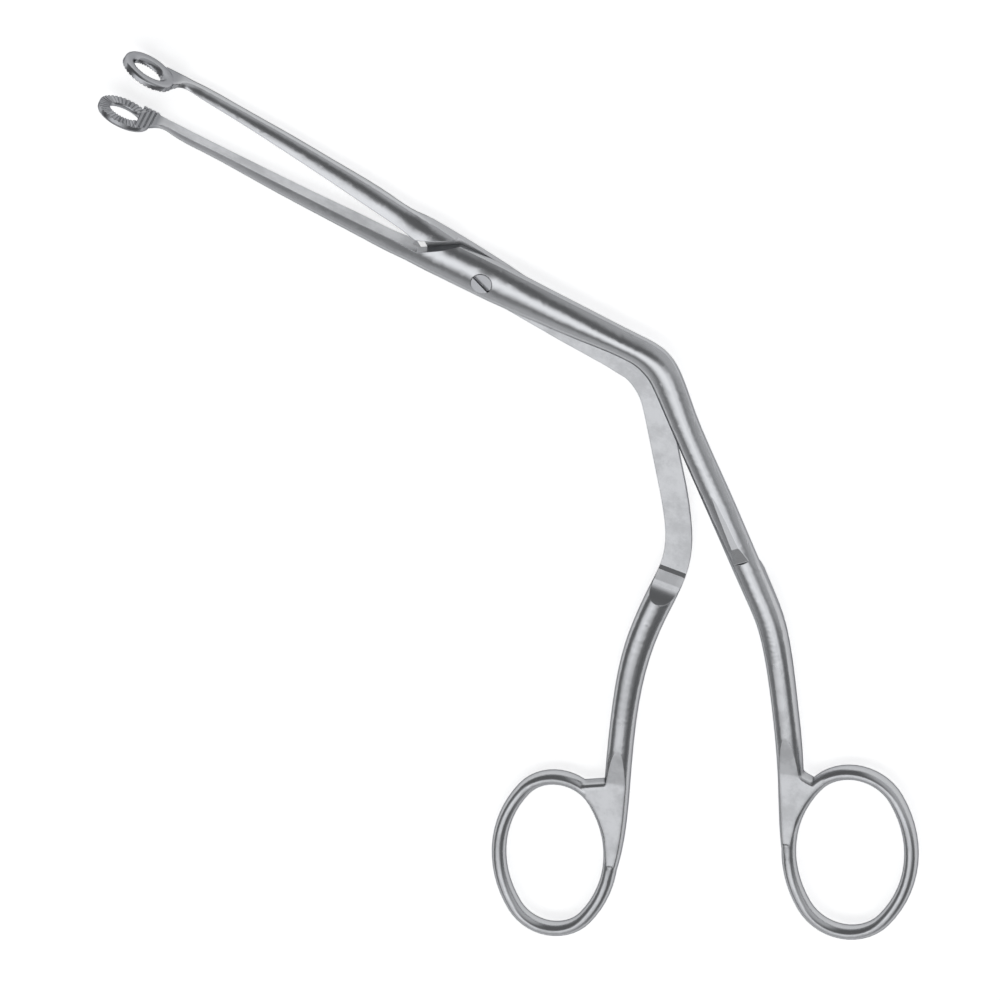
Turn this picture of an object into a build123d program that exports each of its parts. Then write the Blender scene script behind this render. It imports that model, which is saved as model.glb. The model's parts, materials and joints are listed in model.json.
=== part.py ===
from build123d import *
import math
import os

os.makedirs("parts", exist_ok=True)

# Magill forceps, all in millimetres. X runs from the jaw tips to the handles, Z is the screw axis.
# Both levers are drawn closed about the screw, then the back lever is swung open to its rest pose.

# joint
lap_clearance = 0.04
joint_thickness = 6.0
joint_top = 5.1
joint_bottom = 3.75
joint_wall = 1.6
joint_lean = 1.8
shoulder_near_x = -7.6
shoulder_far_x = -15.4
shoulder_far_y = -0.15
shoulder_gap = 1.1
rest_opening = 7.15

# screw
head_diameter = 4.6
head_depth = 1.3
head_clearance = 0.05
bore_diameter = 2.9
bore_clearance = 0.03
thread_diameter = 2.5
slot_width = 0.8
slot_depth = 0.7
slot_angle = -15.4
thread_recess = 0.15

# jaws
neck_offset = 6.5
neck_length = 6.0
neck_depth = 2.35
flare_depth = 1.3
jaw_relief = 0.7
jaw_relief_ends = 0.45
jaw_height_neck = 3.3
jaw_height_root = 4.4
jaw_side_shift = 0.8
joint_blend = 4.5

# jaw rings
ring_x = -84.3
ring_z = 3.35
ring_half_length = 6.0
ring_half_width = 5.1
window_offset = -0.1
window_half_length = 3.5
window_half_width = 2.6
ring_thickness = 1.6
rim_edge = 0.6
window_edge = 1.1
face_gap = 0.08
tooth_pitch = 0.75
tooth_depth = 0.24
neck_tooth_pitch = 1.0
neck_teeth = 4

# handles
joint_end = 3.0
elbow_x = 34.0
elbow_y = 1.05
elbow_radius = 15.0
elbow_half = 3.3
elbow_fullness = 0.8
leg_half = 3.2
leg_wall = 1.1
leg_lean = 1.3
shank_half = 2.75
shank_wall = 0.2
front_leg = 52.0
front_crank = 14.0
front_shank = 38.0
front_merge = 8.2
back_leg = 27.0
back_crank = 24.0
back_shank = 53.8
back_merge = 8.6
merge_tail = 9.0

# ends of the milled flats
step_run = 0.8
step_rise = 0.5
slope_run = 2.4
slope_rise = 0.6
scoop_run = 5.8
scoop_hollow = 0.5

# flattened crowns of the legs
crown_run = 13.0
crown_depth = 0.12
dip_run = 3.6
dip_depth = 0.34
dip_wall = 60
dip_back = 1.2

# finger rings
wire_half_width = 1.55
wire_half_height = 2.0
finger_half_length = 17.9
finger_half_width = 11.85
finger_end_radius = 9.1
thumb_half_length = 16.9
thumb_half_width = 10.7
thumb_end_radius = 7.9
finger_web = 0.87
finger_web_angle = 52
thumb_web = 1.09
thumb_web_angle = 76
web_half_height = 1.9
web_flat_run = 9.0
web_flat_rise = 0.9
web_foot = 3.0
web_radius = 2.1
web_edge = 0.9

far = 400.0
half = joint_thickness / 2
window_x = ring_x + window_offset
neck_x = ring_x + neck_offset


def mix(first, last, share):
    """Value part of the way from the first to the last."""
    return first + (last - first) * share


def bar_section(point, heading, shift, left, right, wall, high, lean):
    """Outline across the bar: two side walls joined by a crown above and a crown below."""
    turn = math.radians(heading)
    side = (-math.sin(turn), math.cos(turn), 0)
    ahead = (math.cos(turn), math.sin(turn), 0)
    place = Plane(origin=(point[0], point[1], shift), x_dir=side, z_dir=ahead)
    top = wall + (high - wall) * 4 / 3
    upper = Bezier((left, wall), (left - lean, top), (-right + lean, top), (-right, wall))
    right_wall = Line((-right, wall), (-right, -wall))
    lower = Bezier((-right, -wall), (-right + lean, -top), (left - lean, -top), (left, -wall))
    left_wall = Line((left, -wall), (left, wall))
    return place * make_face(Curve() + [upper, right_wall, lower, left_wall])


def jaw_sections():
    """Sections of the closed bar from inside the jaw rings to the start of the elbow."""
    faces = []
    low = -jaw_side_shift - jaw_height_neck / 2
    high = -jaw_side_shift + jaw_height_neck / 2
    flare = ring_z + 0.6 * ring_half_width - high
    for index in range(6):
        share = index / 5
        top = high + flare * (0.5 + 0.5 * math.cos(math.pi * share))
        tall = (top - low) / 2
        depth = mix(flare_depth, 0.86 * neck_depth, share)
        flat = tall * (0.75 - 0.55 * share**2)
        place = (neck_x + neck_length * (share - 0.57), 0)
        faces.append(bar_section(place, 0, (top + low) / 2, depth, depth, flat, tall, 0))
    root = shoulder_far_x - joint_blend
    start = neck_x + 0.8 * neck_length
    for share in [0.0, 0.15, 0.4, 0.65, 0.87, 1.0]:
        fill = 1 - (1 - share) ** 1.7
        above = mix(neck_depth, 0.94 * joint_top, fill)
        below = mix(neck_depth, 1.14 * joint_bottom, fill)
        tall = mix(jaw_height_neck, jaw_height_root, share**1.5) / 2
        shift = -jaw_side_shift * (1 - share**2)
        place = (mix(start, root, share), 0)
        faces.append(bar_section(place, 0, shift, above, below, 0.08 * half, tall, 0))
    for x, above, below, wall, tall, lean in [
        (0.5 * (root + shoulder_far_x), 0.98, 1.08, 0.44, 0.85, 0.22),
        (0.85 * shoulder_far_x, 1.0, 1.04, 0.81, 0.97, 0.7),
        (0.92 * shoulder_near_x, 1.0, 1.0, 1.0, 1.0, 1.0),
        (joint_end, 1.0, 1.0, 1.0, 1.0, 1.0),
    ]:
        sizes = (above * joint_top, below * joint_bottom, wall * joint_wall, tall * half, lean * joint_lean)
        faces.append(bar_section((x, 0), 0, 0, *sizes))
    for share in [0.32, 0.68]:
        above = mix(joint_top, elbow_y + elbow_half, share**0.8)
        below = mix(joint_bottom, elbow_half - elbow_y, share**1.2)
        wall = mix(joint_wall, leg_wall, share**1.2)
        lean = mix(joint_lean, leg_lean, share**1.2)
        faces.append(bar_section((mix(joint_end, elbow_x, share), 0), 0, 0, above, below, wall, half, lean))
    for x in [0.95 * elbow_x, elbow_x]:
        faces.append(bar_section((x, elbow_y), 0, 0, elbow_half, elbow_half, leg_wall, half, leg_lean))
    return faces


def walk(steps):
    """Sections along a handle; a step is length, turn, left and right fullness, fade to round, height."""
    x, y, heading = elbow_x, elbow_y, 0.0
    faces = []
    stops = []
    for length, turn, left, right, fade, height in steps:
        if turn == 0:
            x += length * math.cos(math.radians(heading))
            y += length * math.sin(math.radians(heading))
        else:
            radius = length / math.radians(turn)
            x -= radius * math.sin(math.radians(heading))
            y += radius * math.cos(math.radians(heading))
            heading += turn
            x += radius * math.sin(math.radians(heading))
            y -= radius * math.cos(math.radians(heading))
        width = mix(leg_half, shank_half, fade)
        wall = mix(leg_wall, shank_wall, fade)
        tall = mix(half, shank_half, fade) * height
        lean = mix(leg_lean, 0, fade)
        faces.append(bar_section((x, y), heading, 0, left * width, right * width, wall, tall, lean))
        stops.append((x, y, heading))
    return faces, stops


def stretch(length, parts):
    """Steps along one stretch of a handle, each a share of the stretch's length."""
    return [(length * part[0], *part[1:]) for part in parts]


def elbow_steps(before, turn, wide):
    """Steps round the elbow, with the outer side fuller at the middle of the bend."""
    length = elbow_radius * math.radians(abs(turn)) / 4
    start = elbow_half / leg_half
    steps = [(0, 0, start, start, 0, 1), (before, 0, start, start, 0, 1)]
    for share in [0.5, 1.0, 0.9, 0.6]:
        steps.append((length, turn / 4, wide + share * elbow_fullness / leg_half, wide, 0, 1))
    return steps


def oval_wire(half_long, half_wide, end_radius):
    """Oval ring of wire made of four tangent arcs; the half sizes are those of its centre line."""
    rise = (half_long - end_radius) ** 2 + half_wide**2 - end_radius**2
    side_radius = rise / (2 * (half_wide - end_radius))
    spread = math.degrees(math.atan2(half_long - end_radius, side_radius - half_wide))
    section = Ellipse(wire_half_width, wire_half_height)
    ring = None
    for turn, radius, middle, sweep_half in [
        (0, end_radius, half_long - end_radius, 90 - spread),
        (90, side_radius, half_wide - side_radius, spread),
        (180, end_radius, half_long - end_radius, 90 - spread),
        (270, side_radius, half_wide - side_radius, spread),
    ]:
        place = Plane(origin=(radius, 0, 0), x_dir=(-1, 0, 0), z_dir=(0, 1, 0))
        arc = revolve(Rot(0, 0, -sweep_half) * (place * section), axis=Axis.Z, revolution_arc=2 * sweep_half)
        arc = Rot(0, 0, turn) * Pos(middle, 0, 0) * arc
        if ring is None:
            ring = arc
        else:
            ring = ring + arc
    return ring


def finger_ring(stop, side, half_length, half_width, end_radius, web_start, web_end):
    """Oval ring at one side of the shank's end, with its web; side is 1 for left and -1 for right."""
    turn = math.radians(stop[2])
    reach = half_width + wire_half_width
    long = half_length + wire_half_width
    centre_x = stop[0] - side * reach * math.sin(turn)
    centre_y = stop[1] + side * reach * math.cos(turn)
    ring = oval_wire(long, reach, end_radius + wire_half_width)
    start = -web_start * long
    shank_side = side * 0.8 * wire_half_width
    angle = math.radians(web_end)
    on_ring = (-math.sin(angle) * long, side * (1 - math.cos(angle)) * reach)
    middle = (-0.707 * long, side * 0.293 * reach)
    beyond = start - 2 * web_radius
    corners = [(-web_foot, 0), (beyond, 0), (start, shank_side), on_ring, middle]
    web = make_face(Polyline(*corners, close=True))
    notch = [v for v in web.vertices() if abs(v.X - start) < 0.001]
    plate = extrude(fillet(notch, web_radius), amount=web_half_height, both=True)
    plate = fillet(plate.edges().filter_by(GeomType.CIRCLE), web_edge)
    return Pos(centre_x, centre_y, 0) * Rot(0, 0, stop[2]) * (ring + Pos(0, -side * reach, 0) * plate)


def lap_side(stop, side):
    """Space beyond the lap plane as far as the stop, where it ends in a step, a slope and a scoop."""
    floor = -side * lap_clearance / 2
    slope_x = step_run + slope_run
    ridge = step_rise + slope_rise
    end_x = slope_x + scoop_run
    end_z = 1.2 * half
    tilt = math.atan2(end_z - ridge, scoop_run)
    dip_x = (slope_x + end_x) / 2 + scoop_hollow * math.sin(tilt)
    dip_z = (ridge + end_z) / 2 - scoop_hollow * math.cos(tilt)
    top = side * far
    profile = Curve() + [
        Line((-far, floor), (0, floor)),
        Line((0, floor), (step_run, side * step_rise)),
        Line((step_run, side * step_rise), (slope_x, side * ridge)),
        ThreePointArc((slope_x, side * ridge), (dip_x, side * dip_z), (end_x, side * end_z)),
        Line((end_x, side * end_z), (end_x, top)),
        Line((end_x, top), (-far, top)),
        Line((-far, top), (-far, floor)),
    ]
    turn = math.radians(stop[2])
    ahead = (math.cos(turn), math.sin(turn), 0)
    square = (math.sin(turn), -math.cos(turn), 0)
    place = Plane(origin=(stop[0], stop[1], 0), x_dir=ahead, z_dir=square)
    return extrude(place * make_face(profile), amount=far, both=True)


def cutter(stop, corners):
    """Block with the given profile along the handle at the stop, as wide as the leg on both sides."""
    turn = math.radians(stop[2])
    ahead = (math.cos(turn), math.sin(turn), 0)
    square = (math.sin(turn), -math.cos(turn), 0)
    place = Plane(origin=(stop[0], stop[1], 0), x_dir=ahead, z_dir=square)
    return extrude(place * make_face(Polyline(*corners, close=True)), amount=2 * leg_half, both=True)


def crown_relief(stop, side):
    """Space over the slightly flattened crown of the leg, which dips just before the round shank."""
    gentle = side * (half - crown_depth)
    floor = side * (half - crown_depth - dip_depth)
    high = side * 2 * half
    wall = -dip_back + half / math.tan(math.radians(dip_wall))
    start = -dip_back - dip_run
    corners = [(start - 2 * crown_run, high), (start - crown_run, side * half), (start, gentle), (-dip_back, floor)]
    return cutter(stop, corners + [(wall, high)])


def web_relief(stop, side, begin):
    """Space over the flat ground on the finger ring's root, which fades out up the shank."""
    floor = side * web_half_height
    rise = side * (web_half_height + web_flat_rise)
    high = side * 2 * half
    corners = [(begin - 2 * web_flat_run, high), (begin - web_flat_run, rise), (begin, floor), (0, floor), (0, high)]
    return cutter(stop, corners)


def plan(points, low, high):
    """Upright block with a straight-sided plan."""
    return Pos(0, 0, low) * extrude(make_face(Polyline(*points, close=True)), amount=high - low)


def jaw_split():
    """Space above the inner face of the lower jaw, hollowed a little behind its ring."""
    face = -face_gap / 2
    hollow_start = neck_x + 0.6
    middle = (hollow_start + shoulder_far_x) / 2
    outline = Curve() + [
        Line((-far, face), (neck_x, face)),
        Line((neck_x, face), (hollow_start, -jaw_relief_ends)),
        ThreePointArc(
            (hollow_start, -jaw_relief_ends), (middle, -jaw_relief), (shoulder_far_x, shoulder_far_y)
        ),
        Line((shoulder_far_x, shoulder_far_y), (shoulder_far_x, far)),
        Line((shoulder_far_x, far), (-far, far)),
        Line((-far, far), (-far, face)),
    ]
    return extrude(make_face(outline), amount=far, both=True)


def shoulder_top():
    """Space beyond the oblique end of the lower jaw lever's own half of the joint."""
    slope = (joint_top - shoulder_far_y) / (shoulder_near_x - shoulder_far_x)
    high = joint_top + far
    end = (shoulder_near_x + far / slope, high)
    return plan([(shoulder_far_x, shoulder_far_y), end, (shoulder_far_x, high)], 0, far)


def mate_side():
    """Plan of the mating lever's half of the joint and handle, with the shoulder gap in front."""
    slope = (joint_top - shoulder_far_y) / (shoulder_near_x - shoulder_far_x)
    shift = shoulder_gap * math.hypot(1, slope) / slope
    corner = (shoulder_near_x + far / slope - shift, -joint_top - far)
    crotch = (shoulder_far_x - shift, -shoulder_far_y)
    wide = 2 * far
    return plan([crotch, corner, (wide, corner[1]), (wide, far), (crotch[0], far)], -far, far)


def jaw_ring():
    """Closed pair of windowed oval jaw rings, rounded on their outer sides."""
    place = Plane(origin=(0, 0, 0), x_dir=(1, 0, 0), z_dir=(0, -1, 0))
    outer = face_gap / 2 + ring_thickness
    oval = Pos(ring_x, ring_z) * Rot(0, 0, 180) * Ellipse(ring_half_length, ring_half_width)
    opening = Pos(window_x, ring_z) * Ellipse(window_half_length, window_half_width)
    disc = extrude(place * oval, amount=outer, both=True)
    disc = fillet([e for e in disc.edges() if abs(abs(e.center().Y) - outer) < 0.001], rim_edge)
    pair = disc - extrude(place * opening, amount=outer, both=True)
    edges = [e for e in pair.edges() if abs(abs(e.center().Y) - outer) < 0.001]
    return fillet([e for e in edges if e.length < 7 * window_half_length], window_edge)


def groove(x, z, angle, length, side):
    """V groove across a jaw face, centred at x and z and turned by an angle about the face."""
    face = side * face_gap / 2
    deep = tooth_depth * side
    half_open = tooth_depth * 1.05
    corner = [(-half_open * 1.5, face - deep / 2), (0, face + deep), (half_open * 1.5, face - deep / 2)]
    blade = extrude(make_face(Polyline(*corner, close=True)), amount=length / 2, both=True)
    return Pos(x, 0, z) * Rot(0, angle, 0) * blade


def teeth(side):
    """Grooves fanned round the jaw ring and straight across its neck; the two jaws' teeth interlock."""
    mid_long = (ring_half_length + window_half_length) / 2
    mid_wide = (ring_half_width + window_half_width) / 2
    offset = 0.25 * side
    blades = []
    around = 2 * math.pi * math.sqrt((mid_long**2 + mid_wide**2) / 2)
    count = round(around / tooth_pitch)
    for index in range(count):
        turn = 2 * math.pi * (index + 0.5 + offset) / count
        x = mid_long * math.cos(turn)
        if x > mid_long * 0.72:
            continue
        z = mid_wide * math.sin(turn)
        slant = math.degrees(math.atan2(x / mid_long**2, z / mid_wide**2))
        blades.append(groove(window_x + x, ring_z + z, slant, 4.2, side))
    for index in range(neck_teeth):
        x = neck_x - neck_tooth_pitch * (index + 0.25 - offset)
        blades.append(groove(x, ring_z - 0.5, 0, 2 * ring_half_width + 3, side))
    return blades


def lever(side, steps, runout_stop, ring_sizes):
    """One forged lever, drawn closed; side is -1 for the front lever and 1 for the back one."""
    handle, stops = walk(steps)
    if side == -1:
        turn_over = Rot(0, 0, 0)
    else:
        turn_over = Rot(180, 0, 0)
    bar = bars_closed - turn_over * jaw_split()
    bar = bar - turn_over * shoulder_top()
    bar = bar + loft(handle)
    bar = bar - (lap_side(stops[runout_stop], side) & (turn_over * mate_side()))
    bar = bar - crown_relief(stops[runout_stop], -side)
    bar = bar + finger_ring(stops[-2], -side, *ring_sizes)
    root = -ring_sizes[3] * (ring_sizes[0] + wire_half_width)
    bar = bar - web_relief(stops[-2], 1, root) - web_relief(stops[-2], -1, root)
    return bar - teeth(side)


front_steps = (
    elbow_steps(0.5, -44.4, 1.0)
    + stretch(front_leg, [(0.135, 0, 1, 1, 0, 1), (0.385, 0, 0.985, 0.985, 0, 1)])
    + stretch(front_leg, [(0.34, 0, 0.983, 0.983, 0.1, 1), (0.14, 0, 1.01, 1.01, 0.3, 1.02)])
    + stretch(front_crank, [(0.5, -6.2, 1.09, 0.98, 0.6, 1.04), (0.5, -7.1, 1.1, 0.99, 0.9, 1.07)])
    + stretch(front_shank, [(0.316, -2.9, 1.05, 0.98, 1, 1.04), (0.474, -3, 1.015, 0.985, 1, 1)])
    + stretch(front_shank, [(0.21, -4, 0.836, 0.964, 1, 0.945)])
    + [(front_merge, -4.5, 0.436, 0.655, 1, 0.78), (merge_tail, 17, 0.364, 0.4, 1, 0.51)]
)
back_steps = (
    elbow_steps(0.6, -49.3, 0.94)
    + stretch(back_leg, [(0.26, 0, 0.922, 0.922, 0, 1), (0.407, 0, 0.92, 0.92, 0.1, 1)])
    + stretch(back_leg, [(0.333, -4, 0.915, 0.915, 0.2, 1)])
    + stretch(back_crank, [(0.22, -9.9, 0.99, 0.93, 0.45, 1), (0.28, -13.3, 1.09, 1.0, 0.7, 1.03)])
    + stretch(back_crank, [(0.25, -7, 1.127, 1.127, 0.9, 1.05), (0.25, 1, 1.127, 1.127, 1, 1.05)])
    + stretch(back_shank, [(0.186, 7.3, 1.09, 1.09, 1, 1.04), (0.223, 8, 1.018, 1.018, 1, 1.02)])
    + stretch(back_shank, [(0.325, 3, 1, 1, 1, 1), (0.266, 0, 0.964, 0.836, 1, 0.945)])
    + [(back_merge, 0, 0.655, 0.436, 1, 0.78), (merge_tail, -19, 0.4, 0.364, 1, 0.51)]
)
finger_sizes = [finger_half_length, finger_half_width, finger_end_radius, finger_web, finger_web_angle]
thumb_sizes = [thumb_half_length, thumb_half_width, thumb_end_radius, thumb_web, thumb_web_angle]
bars_closed = loft(jaw_sections()) + jaw_ring()
front = lever(-1, front_steps, 8, finger_sizes)
back = lever(1, back_steps, 10, thumb_sizes)

# screw and its bores
from_floor = (Align.CENTER, Align.CENTER, Align.MIN)
head_floor = half - head_depth
head_seat = head_floor + lap_clearance / 2
pin_radius = bore_diameter / 2 - bore_clearance
counterbore = Pos(0, 0, head_floor) * Cylinder(head_diameter / 2 + head_clearance, far, align=from_floor)
front = front - counterbore - Cylinder(bore_diameter / 2, far)
back = back - Cylinder(thread_diameter / 2, far)
head = Pos(0, 0, head_seat) * Cylinder(head_diameter / 2, half - head_seat, align=from_floor)
pin = Pos(0, 0, -lap_clearance / 2) * Cylinder(pin_radius, head_floor + lap_clearance, align=from_floor)
thread = Pos(0, 0, -half + thread_recess) * Cylinder(thread_diameter / 2, half, align=from_floor)
slot = Pos(0, 0, half) * Rot(0, 0, slot_angle) * Box(2 * head_diameter, slot_width, 2 * slot_depth)
screw = head + pin + thread - slot

# rest pose: the back lever and its screw are swung open, and the whole lies with its lowest side at zero
swing = Rot(0, 0, -rest_opening)
back = swing * back
screw = swing * screw
extent = Compound([front, back, screw]).bounding_box()
middle = extent.center()
place = Pos(-middle.X, -middle.Y, -extent.min.Z)
export_step(place * front, "parts/front_lever.step")
export_step(place * back, "parts/back_lever.step")
export_step(place * screw, "parts/pivot_screw.step")
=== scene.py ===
import json
import math

import bpy
from mathutils import Matrix, Vector

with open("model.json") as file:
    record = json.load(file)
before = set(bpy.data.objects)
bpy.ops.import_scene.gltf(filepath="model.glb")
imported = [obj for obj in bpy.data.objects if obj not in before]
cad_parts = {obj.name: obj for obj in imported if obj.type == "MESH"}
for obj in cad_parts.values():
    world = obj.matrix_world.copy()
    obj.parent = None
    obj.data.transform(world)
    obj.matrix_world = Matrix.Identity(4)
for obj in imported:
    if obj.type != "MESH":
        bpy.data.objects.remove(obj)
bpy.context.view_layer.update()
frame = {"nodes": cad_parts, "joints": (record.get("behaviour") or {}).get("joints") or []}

# Front lever: one drop forging of stainless steel, with the lower jaw and the right-hand finger
# ring. It is milled flat at the lap joint, ground satin on its flat faces, and buffed by hand on
# all its crowns.
LAP_HEIGHT = 0.0030045
LAP_RUNOUT_HEIGHT = 0.00125  # most that the lap's run-outs rise above it or fall below it
JAW_ROOT_X = -0.0405  # where the flat inner face of each jaw bar ends
NECK_X = -0.1005  # where the teeth start
NECK_FADE = 0.002
FRONT_ROOT_Y = 0.014  # where the ground flats of the ring's root start
ROOT_FADE = 0.008
EDGE_RADIUS = 0.0002
ROOT_EDGE_RADIUS = 0.0010
EDGE_SAMPLES = 8

# How squarely a face has to look up, down or at the other jaw to count as ground, as a cosine.
LAP_FACING = 0.95
JAW_FACING = 0.97
ROOT_FACING = (0.94, 0.99)

CROWN_COLOUR = "#B9BABC"
GRAZING_COLOUR = "#88898B"  # what the steel reflects at a low angle
# The ground faces' colours are lighter than the crown's: a painted sheen that stands in for the
# light they catch, with the mottle of grinding in it.
GROUND_SHEEN_COLOUR = "#D8D9DB"
MOTTLE_SHEEN_COLOUR = "#C4C5C7"
# Painted shade: the toothed rings are darker, partly as tarnish and partly as shade painted into
# the tooth grooves.
TOOTHED_SHADE_AND_TARNISH_COLOUR = "#A2A3A6"
CROWN_ROUGHNESS = 0.2
GROUND_ROUGHNESS = 0.4

MOTTLE_WIDTH = 0.0077  # of the faint patches that grinding by hand leaves
MOTTLE_RANGE = (0.35, 0.6)
STREAK_WIDTH = 0.00111  # real ones, about 0.02 mm, are too fine to show, so it is coarser
STREAK_DEPTH = 0.000002
STREAK_ROUGHNESS = 0.03
SMOOTH = {"interpolation_type": "SMOOTHSTEP"}


def linear(hex_code):
    channels = [int(hex_code[i : i + 2], 16) / 255 for i in (1, 3, 5)]
    return [c / 12.92 if c <= 0.04045 else ((c + 0.055) / 1.055) ** 2.4 for c in channels] + [1.0]


def add_node(tree, kind, settings=None, inputs=None):
    """Adds a shader node. An input is a value, a socket to link, or a node for its first output."""
    node = tree.nodes.new("ShaderNode" + kind)
    for name, value in (settings or {}).items():
        setattr(node, name, value)
    for name, value in (inputs or {}).items():
        if isinstance(value, bpy.types.Node):
            value = value.outputs[0]
        if isinstance(value, bpy.types.NodeSocket):
            tree.links.new(value, node.inputs[name])
        else:
            node.inputs[name].default_value = value
    return node


def instrument_steel(name, colours, roughnesses, jaw_side, root_y):
    """Stainless steel, buffed on the crowns and ground on the lap, inner jaw faces and ring root.

    Buffing leaves a soft mirror with faint streaks. The ground faces spread light evenly, with a
    slight mottle, and are painted lighter than the crowns, a painted sheen for the light they
    catch. The toothed jaw rings are painted darker, partly as the tarnish of steel that the buff
    doesn't reach and partly as painted shade in the tooth grooves.
    """
    crown_colour, ground_sheen_colour = colours
    crown_roughness, ground_roughness = roughnesses
    steel = bpy.data.materials.new(name)
    steel.use_nodes = True
    tree = steel.node_tree
    shader = tree.nodes["Principled BSDF"]
    shader.inputs["Metallic"].default_value = 1.0
    shader.inputs["Specular Tint"].default_value = linear(GRAZING_COLOUR)

    # Which faces are ground, from where they are and which way they face.
    place = add_node(tree, "TexCoord")
    point = add_node(tree, "SeparateXYZ", inputs={"Vector": place.outputs["Object"]})
    facing = add_node(tree, "SeparateXYZ", inputs={"Vector": place.outputs["Normal"]})
    upright = add_node(tree, "Math", {"operation": "ABSOLUTE"}, {0: facing.outputs["Z"]})

    lap = add_node(
        tree,
        "Math",
        {"operation": "COMPARE"},
        {0: point.outputs["Z"], 1: LAP_HEIGHT, 2: LAP_RUNOUT_HEIGHT},
    )
    level = add_node(tree, "Math", {"operation": "GREATER_THAN"}, {0: upright, 1: LAP_FACING})
    past_jaw = add_node(
        tree, "Math", {"operation": "GREATER_THAN"}, {0: point.outputs["X"], 1: JAW_ROOT_X}
    )
    for limit in (level, past_jaw):
        lap = add_node(tree, "Math", {"operation": "MULTIPLY"}, {0: lap, 1: limit})

    inward = add_node(
        tree, "Math", {"operation": "MULTIPLY"}, {0: facing.outputs["Y"], 1: jaw_side}
    )
    inner = add_node(tree, "Math", {"operation": "GREATER_THAN"}, {0: inward, 1: JAW_FACING})
    on_jaw = add_node(
        tree, "Math", {"operation": "LESS_THAN"}, {0: point.outputs["X"], 1: JAW_ROOT_X}
    )
    jaw_face = add_node(tree, "Math", {"operation": "MULTIPLY"}, {0: inner, 1: on_jaw})

    at_root = add_node(
        tree,
        "MapRange",
        SMOOTH,
        {"Value": point.outputs["Y"], "From Min": root_y, "From Max": root_y - ROOT_FADE},
    )
    root_level = add_node(
        tree,
        "MapRange",
        SMOOTH,
        {"Value": upright, "From Min": ROOT_FACING[0], "From Max": ROOT_FACING[1]},
    )
    root = add_node(tree, "Math", {"operation": "MULTIPLY"}, {0: at_root, 1: root_level})

    ground = lap
    for other in (jaw_face, root):
        ground = add_node(tree, "Math", {"operation": "MAXIMUM"}, {0: ground, 1: other})

    # Colour. A Mix node takes its colours at inputs 6 and 7 and gives them at output 2.
    mottle = add_node(
        tree,
        "TexNoise",
        inputs={
            "Vector": place.outputs["Object"],
            "Scale": 1 / MOTTLE_WIDTH,
            "Detail": 5.0,
            "Roughness": 0.7,
        },
    )
    patches = add_node(
        tree,
        "MapRange",
        SMOOTH,
        {"Value": mottle, "From Min": MOTTLE_RANGE[0], "From Max": MOTTLE_RANGE[1]},
    )
    # Painted sheen: the ground faces get a lighter, mottled colour for the light they catch.
    mottled_sheen = add_node(
        tree,
        "Mix",
        {"data_type": "RGBA"},
        {0: patches, 6: linear(MOTTLE_SHEEN_COLOUR), 7: linear(ground_sheen_colour)},
    )
    metal = add_node(
        tree,
        "Mix",
        {"data_type": "RGBA"},
        {0: ground, 6: linear(crown_colour), 7: mottled_sheen.outputs[2]},
    )
    # Painted shade: past the neck the colour turns darker, partly tarnish and partly shade painted
    # into the tooth grooves.
    toothed_shade_and_tarnish = add_node(
        tree,
        "MapRange",
        SMOOTH,
        {"Value": point.outputs["X"], "From Min": NECK_X, "From Max": NECK_X - NECK_FADE},
    )
    shaded_and_tarnished_metal = add_node(
        tree,
        "Mix",
        {"data_type": "RGBA"},
        {0: toothed_shade_and_tarnish, 6: metal.outputs[2], 7: linear(TOOTHED_SHADE_AND_TARNISH_COLOUR)},
    )
    tree.links.new(shaded_and_tarnished_metal.outputs[2], shader.inputs["Base Color"])

    # Roughness, with the streaks of the buff. A Mix node takes its numbers at inputs 2 and 3.
    streaks = add_node(
        tree,
        "TexNoise",
        inputs={
            "Vector": place.outputs["Object"],
            "Scale": 1 / STREAK_WIDTH,
            "Detail": 4.0,
            "Roughness": 0.6,
        },
    )
    rough = add_node(
        tree, "Mix", {"data_type": "FLOAT"}, {0: ground, 2: crown_roughness, 3: ground_roughness}
    )
    spread = add_node(
        tree,
        "MapRange",
        inputs={"Value": streaks, "To Min": -STREAK_ROUGHNESS, "To Max": STREAK_ROUGHNESS},
    )
    streaked = add_node(tree, "Math", {"operation": "ADD"}, {0: rough, 1: spread})
    tree.links.new(streaked.outputs[0], shader.inputs["Roughness"])

    # Edges softened by the buff, most of all at the ring's root, and the depth of the streaks.
    edge = add_node(
        tree,
        "MapRange",
        inputs={"Value": at_root, "To Min": EDGE_RADIUS, "To Max": ROOT_EDGE_RADIUS},
    )
    round_edge = add_node(tree, "Bevel", {"samples": EDGE_SAMPLES}, {"Radius": edge})
    grain = add_node(
        tree,
        "Bump",
        inputs={"Height": streaks, "Distance": STREAK_DEPTH, "Normal": round_edge},
    )
    tree.links.new(grain.outputs[0], shader.inputs["Normal"])
    return steel


def finish_piece(node_name, material):
    piece = frame["nodes"][node_name]
    piece.data.materials.clear()
    piece.data.materials.append(material)


front_steel = instrument_steel(
    "buffed_stainless_front_lever",
    colours=(CROWN_COLOUR, GROUND_SHEEN_COLOUR),
    roughnesses=(CROWN_ROUGHNESS, GROUND_ROUGHNESS),
    jaw_side=1.0,
    root_y=FRONT_ROOT_Y,
)
finish_piece("front_lever", front_steel)

# Back lever: the mating forging of the same steel, with the upper jaw, the lower half of the lap
# joint and the left-hand thumb ring. It has the same finish, so what shows most is the long
# ground flat of its lap.
BACK_ROOT_Y = -0.016

back_steel = instrument_steel(
    "buffed_stainless_back_lever",
    colours=(CROWN_COLOUR, GROUND_SHEEN_COLOUR),
    roughnesses=(CROWN_ROUGHNESS, GROUND_ROUGHNESS),
    jaw_side=-1.0,
    root_y=BACK_ROOT_Y,
)
finish_piece("back_lever", back_steel)

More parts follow.
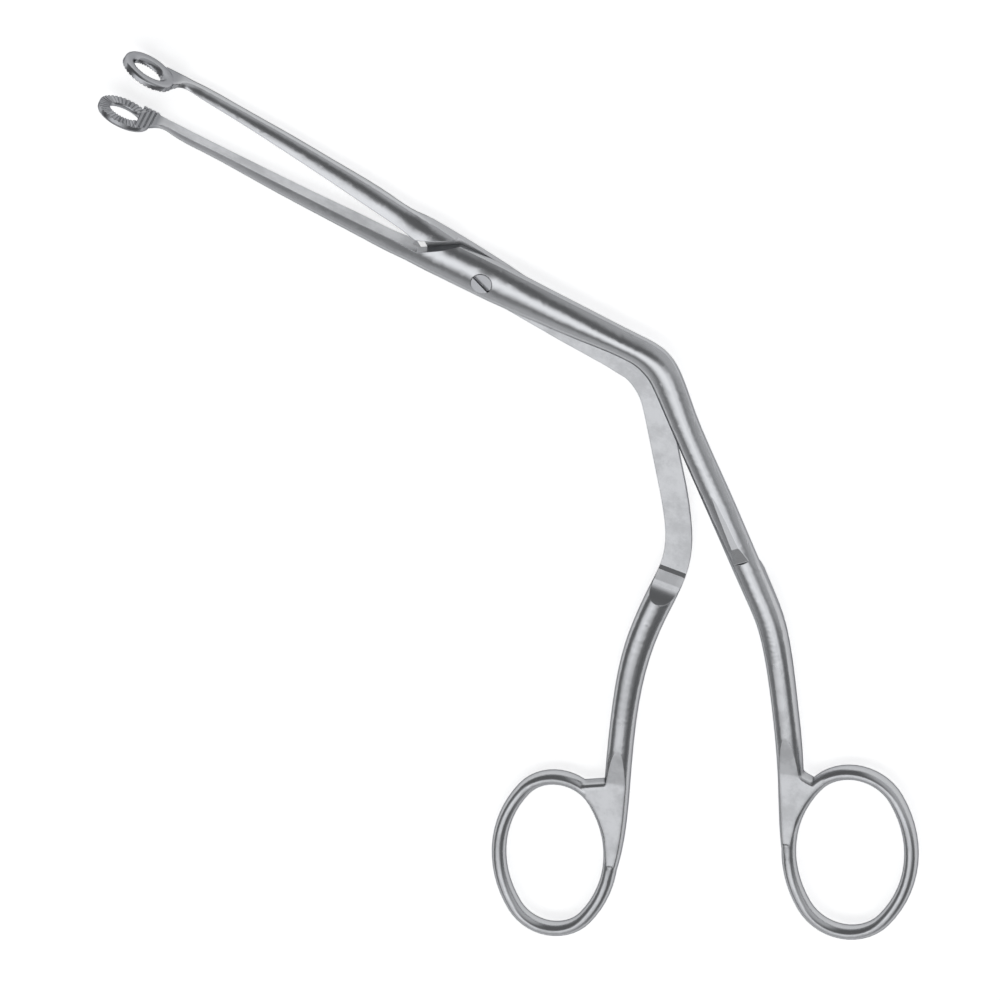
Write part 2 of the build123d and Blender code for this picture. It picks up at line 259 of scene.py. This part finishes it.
# Pivot screw: a stainless screw, turned on a lathe, with a sawn slot. It passes through the front
# lever into the back one, and its head is finished flush. It looks a little duller and darker
# than the crown around it.
SCREW_COLOUR = "#AEAFB2"
SCREW_ROUGHNESS = 0.28
NO_JAW_SIDE = 0.0
NO_ROOT_Y = -1.0  # far past the screw, so that no part of it counts as a ring's root

screw_steel = instrument_steel(
    "turned_stainless_screw",
    colours=(SCREW_COLOUR, SCREW_COLOUR),
    roughnesses=(SCREW_ROUGHNESS, SCREW_ROUGHNESS),
    jaw_side=NO_JAW_SIDE,
    root_y=NO_ROOT_Y,
)
finish_piece("pivot_screw", screw_steel)

# Table: a sheet of matt white laminate that the forceps lie on. It spreads light evenly, shows
# as plain white, and keeps a soft shadow around the steel.
TABLE_SIZE = 30.0
TABLE_COLOUR = "#F2F2F2"
TABLE_ROUGHNESS = 0.9
TABLE_GLOW = 0.62  # lifts it to white for the camera and for reflections, and lights nothing

bpy.ops.mesh.primitive_plane_add(size=TABLE_SIZE, location=(0, 0, 0))
table = bpy.context.object
table.name = "studio_table"
laminate = bpy.data.materials.new("matt_white_laminate")
laminate.use_nodes = True
tree = laminate.node_tree
shader = tree.nodes["Principled BSDF"]
shader.inputs["Base Color"].default_value = linear(TABLE_COLOUR)
shader.inputs["Roughness"].default_value = TABLE_ROUGHNESS
shader.inputs["Specular IOR Level"].default_value = 0.0
rays = add_node(tree, "LightPath")
seen = rays.outputs["Is Camera Ray"]
for ray_kind in ("Is Glossy Ray", "Is Transmission Ray"):
    seen = add_node(tree, "Math", {"operation": "MAXIMUM"}, {0: seen, 1: rays.outputs[ray_kind]})
shown = add_node(tree, "Math", {"operation": "MULTIPLY"}, {0: seen, 1: TABLE_GLOW})
glow = add_node(tree, "Emission", inputs={"Strength": shown})
both = add_node(tree, "AddShader", inputs={0: shader, 1: glow})
tree.links.new(both.outputs[0], tree.nodes["Material Output"].inputs["Surface"])
table.data.materials.append(laminate)

# Lights: one long strip softbox overhead, with weak glows from the near and the far side. The
# rest of the room is dim, so each buffed crown shows a bright band between dark ones.
STRIP_CENTRE = Vector((0.03, -0.30, 0.95))
STRIP_ALONG = Vector((0.93, 0.36, 0.08))
STRIP_LEVEL = 1.25
HORIZON_LEVEL = 0.2
HORIZON_TOP = 0.3
ROOM_LEVEL = 0.18
ROOM_COLOUR = "#FCFDFF"
LAMP_SIZE = 0.9
LAMP_POWER = 0.6
LAMP_DISTANCE = 1.3

room = bpy.data.worlds.new("softbox_room")
bpy.context.scene.world = room
room.use_nodes = True
room_tree = room.node_tree
view = add_node(room_tree, "TexCoord").outputs["Generated"]


def sky_patch(toward_light, edge_degrees, core_degrees, level):
    """Round patch of light on the room, full inside its core and fading out to its edge."""
    facing = add_node(
        room_tree,
        "VectorMath",
        {"operation": "DOT_PRODUCT"},
        {0: view, 1: Vector(toward_light).normalized()},
    )
    return add_node(
        room_tree,
        "MapRange",
        SMOOTH,
        {
            "Value": facing.outputs["Value"],
            "From Min": math.cos(math.radians(edge_degrees)),
            "From Max": math.cos(math.radians(core_degrees)),
            "To Min": 0.0,
            "To Max": level,
        },
    )


def strip_width(side_direction, core_degrees, edge_degrees):
    """Fades a strip of light out at both of its sides along the given direction."""
    offset = add_node(
        room_tree,
        "VectorMath",
        {"operation": "DOT_PRODUCT"},
        {0: view, 1: side_direction.normalized()},
    )
    distance = add_node(room_tree, "Math", {"operation": "ABSOLUTE"}, {0: offset.outputs["Value"]})
    return add_node(
        room_tree,
        "MapRange",
        SMOOTH,
        {
            "Value": distance,
            "From Min": math.sin(math.radians(core_degrees)),
            "From Max": math.sin(math.radians(edge_degrees)),
            "To Min": 1.0,
            "To Max": 0.0,
        },
    )


strip_across = STRIP_CENTRE.cross(STRIP_ALONG)
width = strip_width(strip_across, core_degrees=3, edge_degrees=22)
length = strip_width(strip_across.cross(STRIP_CENTRE), core_degrees=30, edge_degrees=56)
strip = add_node(room_tree, "Math", {"operation": "MULTIPLY"}, {0: width, 1: length})
overhead = add_node(room_tree, "Math", {"operation": "MULTIPLY"}, {0: strip, 1: STRIP_LEVEL})
near_glow = sky_patch((0.17, -0.98, 0.03), edge_degrees=50, core_degrees=20, level=0.5)
far_glow = sky_patch((0.54, 0.80, 0.27), edge_degrees=56, core_degrees=22, level=0.5)
rise = add_node(room_tree, "SeparateXYZ", inputs={"Vector": view})
horizon = add_node(
    room_tree,
    "MapRange",
    SMOOTH,
    {
        "Value": rise.outputs["Z"],
        "From Min": 0.0,
        "From Max": HORIZON_TOP,
        "To Min": HORIZON_LEVEL,
        "To Max": 0.0,
    },
)
total = ROOM_LEVEL
for light in (overhead, near_glow, far_glow, horizon):
    total = add_node(room_tree, "Math", {"operation": "ADD"}, {0: total, 1: light})
background = room_tree.nodes["Background"]
background.inputs["Color"].default_value = linear(ROOM_COLOUR)
room_tree.links.new(total.outputs[0], background.inputs["Strength"])

lamp_data = bpy.data.lights.new("softbox", "AREA")
lamp_data.size = LAMP_SIZE
lamp_data.energy = LAMP_POWER
lamp = bpy.data.objects.new("softbox", lamp_data)
bpy.context.collection.objects.link(lamp)
lamp.location = LAMP_DISTANCE * STRIP_CENTRE
lamp.rotation_mode = "QUATERNION"
lamp.rotation_quaternion = (-lamp.location).to_track_quat("-Z", "Y")

# Camera: a long lens that looks down on the forceps, tilted towards the upper jaw and turned so
# that the jaws point to the upper left.
TILT = math.radians(30.0)
ROLL = math.radians(26.1)
FRAME_WIDTH = 0.2138
AIM_OFFSET = Vector((0.02384, -0.04735, 0))
LENS = 1500.0
SENSOR = 36.0

pivot = Vector(frame["joints"][0]["pos_m"])
toward = Vector((0, math.sin(TILT), math.cos(TILT)))
across = Vector((0, math.cos(TILT), -math.sin(TILT)))
right = math.cos(ROLL) * Vector((1, 0, 0)) + math.sin(ROLL) * across
up = math.cos(ROLL) * across - math.sin(ROLL) * Vector((1, 0, 0))
camera_data = bpy.data.cameras.new("long_lens")
camera_data.sensor_width = SENSOR
camera_data.lens = LENS
camera = bpy.data.objects.new("long_lens", camera_data)
bpy.context.collection.objects.link(camera)
bpy.context.scene.camera = camera
camera.rotation_mode = "QUATERNION"
camera.rotation_quaternion = Matrix((right, up, toward)).transposed().to_quaternion()
camera.location = pivot + AIM_OFFSET + toward * (FRAME_WIDTH * LENS / SENSOR)
bpy.context.scene.view_settings.view_transform = "Standard"
